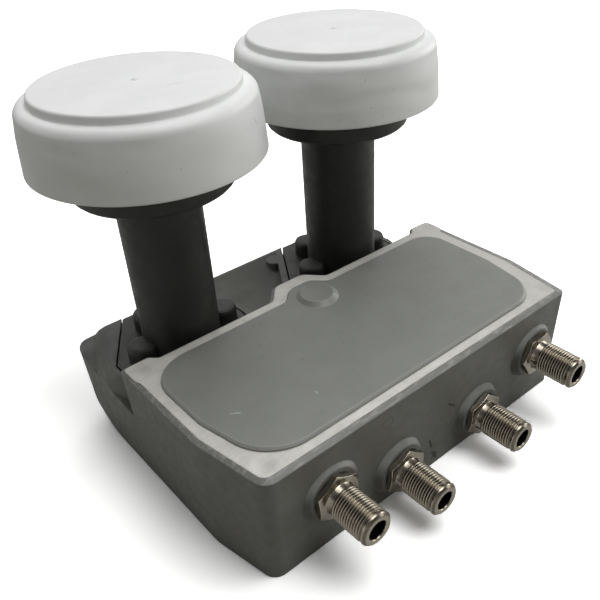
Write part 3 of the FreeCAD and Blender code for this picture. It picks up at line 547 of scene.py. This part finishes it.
def connector_detail(i):
    """Shell with a chamfered hexagon, plain neck, rolled thread, run-out groove and chamfered nose."""
    x = connector_x[i]
    z = connector_z[i]
    turn = hex_turn[i]
    slope = math.tan(math.radians(hex_chamfer_angle))

    def flank(angle):
        return hex_reach(turn, angle)

    def front_edge(angle):
        return hex_front_y + max(flank(angle) - hex_chamfer_radius, 0.0) * slope

    def back_edge(angle):
        return hex_back_y - max(flank(angle) - hex_chamfer_radius - 0.4, 0.0) * slope * 0.5

    spigot_and_hexagon = (
        (insulator_radius, spigot_end_y, 0.0), (spigot_radius, spigot_end_y, 0.0),
        (spigot_radius, hex_back_y - 0.02, 0.0), (flank, back_edge, 0.0), (flank, front_edge, 0.0),
        (hex_chamfer_radius - 0.05, hex_front_y, 0.0), (4.75, hex_front_y, 0.0),
        (4.5, hex_front_y - 0.12, 0.0), (4.35, hex_front_y - 0.4, 0.0),
        (4.33, thread_start_y + 0.25, 0.0), (thread_root_radius, thread_start_y, 0.0),
    )
    groove_and_land = (
        (thread_root_radius, thread_end_y, 1.0), (groove_radius, thread_end_y - 0.1, 1.0),
        (groove_radius, thread_end_y - 0.35, 1.0), (4.45, thread_end_y - 0.45, 0.5),
        (4.6, thread_end_y - 0.55, 0.2), (nose_radius, thread_end_y - 0.65, 0.0),
        (nose_radius, nose_y + 0.85, 0.0),
    )
    chamfer_and_mouth = (
        (4.6, nose_y + 0.7, 0.3), (4.5, nose_y + 0.58, 1.0), (4.1, nose_y + 0.16, 1.0),
        (3.95, nose_y + 0.04, 0.3), (3.8, nose_y, 0.0), (3.05, nose_y, 0.0), (2.85, nose_y + 0.1, 0.0),
        (mouth_radius, nose_y + 0.35, 0.2), (mouth_radius, nose_y + 3.0, 0.6),
    )
    bore = (
        (bore_radius, nose_y + 3.2, 1.0), (bore_radius, bore_floor_y, 1.0),
        (insulator_radius, bore_floor_y, 1.0), (insulator_radius, spigot_end_y, 1.0),
    )
    mesh = bmesh.new()
    mesh.verts.layers.float.new("root")
    turned_profile(mesh, x, z, spigot_and_hexagon, shell_segments, turn)
    rolled_thread(mesh, x, z, shell_segments, turn)
    turned_profile(mesh, x, z, groove_and_land + chamfer_and_mouth + bore, shell_segments, turn)
    bmesh.ops.remove_doubles(mesh, verts=mesh.verts, dist=0.002 * MM)
    bmesh.ops.recalc_face_normals(mesh, faces=mesh.faces)
    piece = mesh_piece("connector_detail_%d" % (i + 1), mesh, [nickel, bore_painted_shade], sharp_angle=28)
    for polygon in piece.data.polygons:
        away = math.hypot(polygon.center.x / MM - x, polygon.center.z / MM - z)
        behind_lip = polygon.center.y > (nose_y + 0.36) * MM
        polygon.material_index = int(away < bore_radius + 0.02 and behind_lip)
    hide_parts("connector_shell_%d" % (i + 1))


for i in range(4):
    connector_detail(i)


def rolled(corners, steps=8):
    """Points through corners (radius, height, rounding) with each rounded corner as a short arc."""
    points = []
    for k, (r, z, rounding) in enumerate(corners):
        if rounding == 0:
            points.append((r, z))
            continue
        here = Vector((r, z))
        back = (Vector(corners[k - 1][:2]) - here).normalized()
        ahead = (Vector(corners[k + 1][:2]) - here).normalized()
        half = back.angle(ahead) / 2
        centre = here + (back + ahead).normalized() * (rounding / math.sin(half))
        first = here + back * (rounding / math.tan(half)) - centre
        last = here + ahead * (rounding / math.tan(half)) - centre
        for step in range(steps + 1):
            points.append(tuple(centre + first.slerp(last, step / steps) * rounding))
    return points


def cap_detail(side, x):
    """Cap with rolled edges and a wall that flares gently to its rim."""
    mesh = bmesh.new()
    rings = []
    for radius, z in rolled(cap_corners):
        ring = []
        for k in range(cap_segments):
            angle = 2 * math.pi * k / cap_segments
            place = (x + radius * math.cos(angle), radius * math.sin(angle), z)
            ring.append(mesh.verts.new([c * MM for c in place]))
        rings.append(ring)
    for first, second in zip(rings, rings[1:] + rings[:1]):
        join_rings(mesh, first, second)
    bmesh.ops.recalc_face_normals(mesh, faces=mesh.faces)
    piece = mesh_piece(side + "_cap_detail", mesh, [cap_plastic], sharp_angle=35)
    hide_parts(side + "_cap")


for side, x in zip(("left", "right"), neck_x):
    cap_detail(side, x)


def direction(azimuth, elevation):
    """Unit vector from degrees turned from +X toward +Y and degrees above the floor."""
    turn = math.radians(azimuth)
    rise = math.radians(elevation)
    return Vector((math.cos(turn) * math.cos(rise), math.sin(turn) * math.cos(rise), math.sin(rise)))


# Camera, whose azimuth is turned from -Y toward -X.
roll = math.radians(camera_roll)
away = direction(270 - camera_azimuth, camera_elevation)
right = (-away).cross(Vector((0, 0, 1))).normalized()
up = right.cross(-away)
turned_right = math.cos(roll) * right + math.sin(roll) * up
turned_up = -math.sin(roll) * right + math.cos(roll) * up
lens = bpy.data.cameras.new("camera")
lens.sensor_width = 36
lens.lens = focal_pixels * lens.sensor_width / picture_size
lens.shift_x = -(picture_centre[0] - picture_size / 2) / picture_size
lens.shift_y = (picture_centre[1] - picture_size / 2) / picture_size
lens.clip_start = 0.01
lens.clip_end = 20
camera = bpy.data.objects.new("camera", lens)
bpy.context.scene.collection.objects.link(camera)
placing = Matrix((turned_right, turned_up, away)).transposed().to_4x4()
placing.translation = (Vector(camera_target) + away * camera_distance) * MM
camera.matrix_world = placing
bpy.context.scene.camera = camera

# Softboxes: azimuth, elevation, width and height in metres, and light at the object.
lamp_distance = 1.2
lamp_target = Vector((0.0, -0.02, 0.03))
softboxes = {
    "front_top": (300, 65, 0.64, 0.64, 0.425),
    "rear_top": (60, 65, 0.64, 0.64, 0.207),
    "zenith": (0, 89, 0.64, 0.64, 0.185),
    "rear_wide": (72, 40, 1.5, 0.6, 0.158),
    "right_low": (330, 15, 0.64, 0.5, 0.18),
    "right_side": (0, 15, 0.5, 0.5, 0.19),
    "left_low": (150, 15, 0.6, 0.5, 0.08),
}


def softbox(name, azimuth, elevation, width, height, level):
    """Area light on a sphere about the object, aimed at it; level is the irradiance there over pi."""
    light = bpy.data.lights.new(name, "AREA")
    light.shape = "RECTANGLE"
    light.size = width
    light.size_y = height
    light.energy = level * (math.pi * lamp_distance) ** 2
    lamp = bpy.data.objects.new(name, light)
    bpy.context.scene.collection.objects.link(lamp)
    toward = direction(azimuth, elevation)
    lamp.rotation_euler = (-toward).to_track_quat("-Z", "Y").to_euler()
    lamp.location = lamp_target + toward * lamp_distance


for name, values in softboxes.items():
    softbox(name, *values)

# World: white to the camera, dim to surfaces that scatter light, and paler near the horizon than
# above it to glossy surfaces.
scattered_strength = 0.045
horizon_strength = 0.6
overhead_strength = 0.16
world = bpy.data.worlds.new("studio")
bpy.context.scene.world = world
world.use_nodes = True
tree = world.node_tree
background = tree.nodes["Background"]
background.inputs["Color"].default_value = (1, 1, 1, 1)
height = tree.nodes.new("ShaderNodeSeparateXYZ")
tree.links.new(tree.nodes.new("ShaderNodeTexCoord").outputs["Generated"], height.inputs[0])
fall = tree.nodes.new("ShaderNodeMapRange")
fall.interpolation_type = "SMOOTHSTEP"
fall.inputs["From Min"].default_value = 0.25
fall.inputs["From Max"].default_value = 0.55
fall.inputs["To Min"].default_value = horizon_strength
fall.inputs["To Max"].default_value = overhead_strength
tree.links.new(height.outputs["Z"], fall.inputs["Value"])
path = tree.nodes.new("ShaderNodeLightPath")
mirrored = tree.nodes.new("ShaderNodeMath")
mirrored.operation = "ADD"
mirrored.use_clamp = True
tree.links.new(path.outputs["Is Glossy Ray"], mirrored.inputs[0])
tree.links.new(path.outputs["Is Transmission Ray"], mirrored.inputs[1])
thrown = tree.nodes.new("ShaderNodeMix")
tree.links.new(mirrored.outputs[0], thrown.inputs[0])
thrown.inputs[2].default_value = scattered_strength
tree.links.new(fall.outputs["Result"], thrown.inputs[3])
seen = tree.nodes.new("ShaderNodeMix")
tree.links.new(path.outputs["Is Camera Ray"], seen.inputs[0])
tree.links.new(thrown.outputs[0], seen.inputs[2])
seen.inputs[3].default_value = 1.0
tree.links.new(seen.outputs[0], background.inputs["Strength"])

# Floor: white to the camera, also where the lamps don't reach, and greyer in the light that it
# throws back.
floor_mesh = bpy.data.meshes.new("floor")
half = 6.0
glow_start = 0.22
glow_full = 0.6
floor_corners = [(-half, -half, 0), (half, -half, 0), (half, half, 0), (-half, half, 0)]
floor_mesh.from_pydata(floor_corners, [], [(0, 1, 2, 3)])
floor = bpy.data.objects.new("floor", floor_mesh)
bpy.context.scene.collection.objects.link(floor)
s = Shader("floor", Roughness=0.9, Specular_IOR_Level=0.0, Emission_Color=(1, 1, 1, 1))
path = s.node("ShaderNodeLightPath")
mirrored = s.maths("ADD", path.outputs["Is Glossy Ray"], path.outputs["Is Transmission Ray"], clamp=True)
thrown = s.blend(mirrored, (0.42, 0.412, 0.365), (0.65, 0.65, 0.63))
far = s.span(s.vector("LENGTH", s.place).outputs["Value"], glow_start, glow_full)
glow = s.maths("MULTIPLY", far, path.outputs["Is Camera Ray"])
s.link(glow, s.surface.inputs["Emission Strength"])
floor_mesh.materials.append(s.finish(s.blend(path.outputs["Is Camera Ray"], thrown, (1.8, 1.8, 1.79))))

bpy.context.scene.view_settings.view_transform = "Standard"
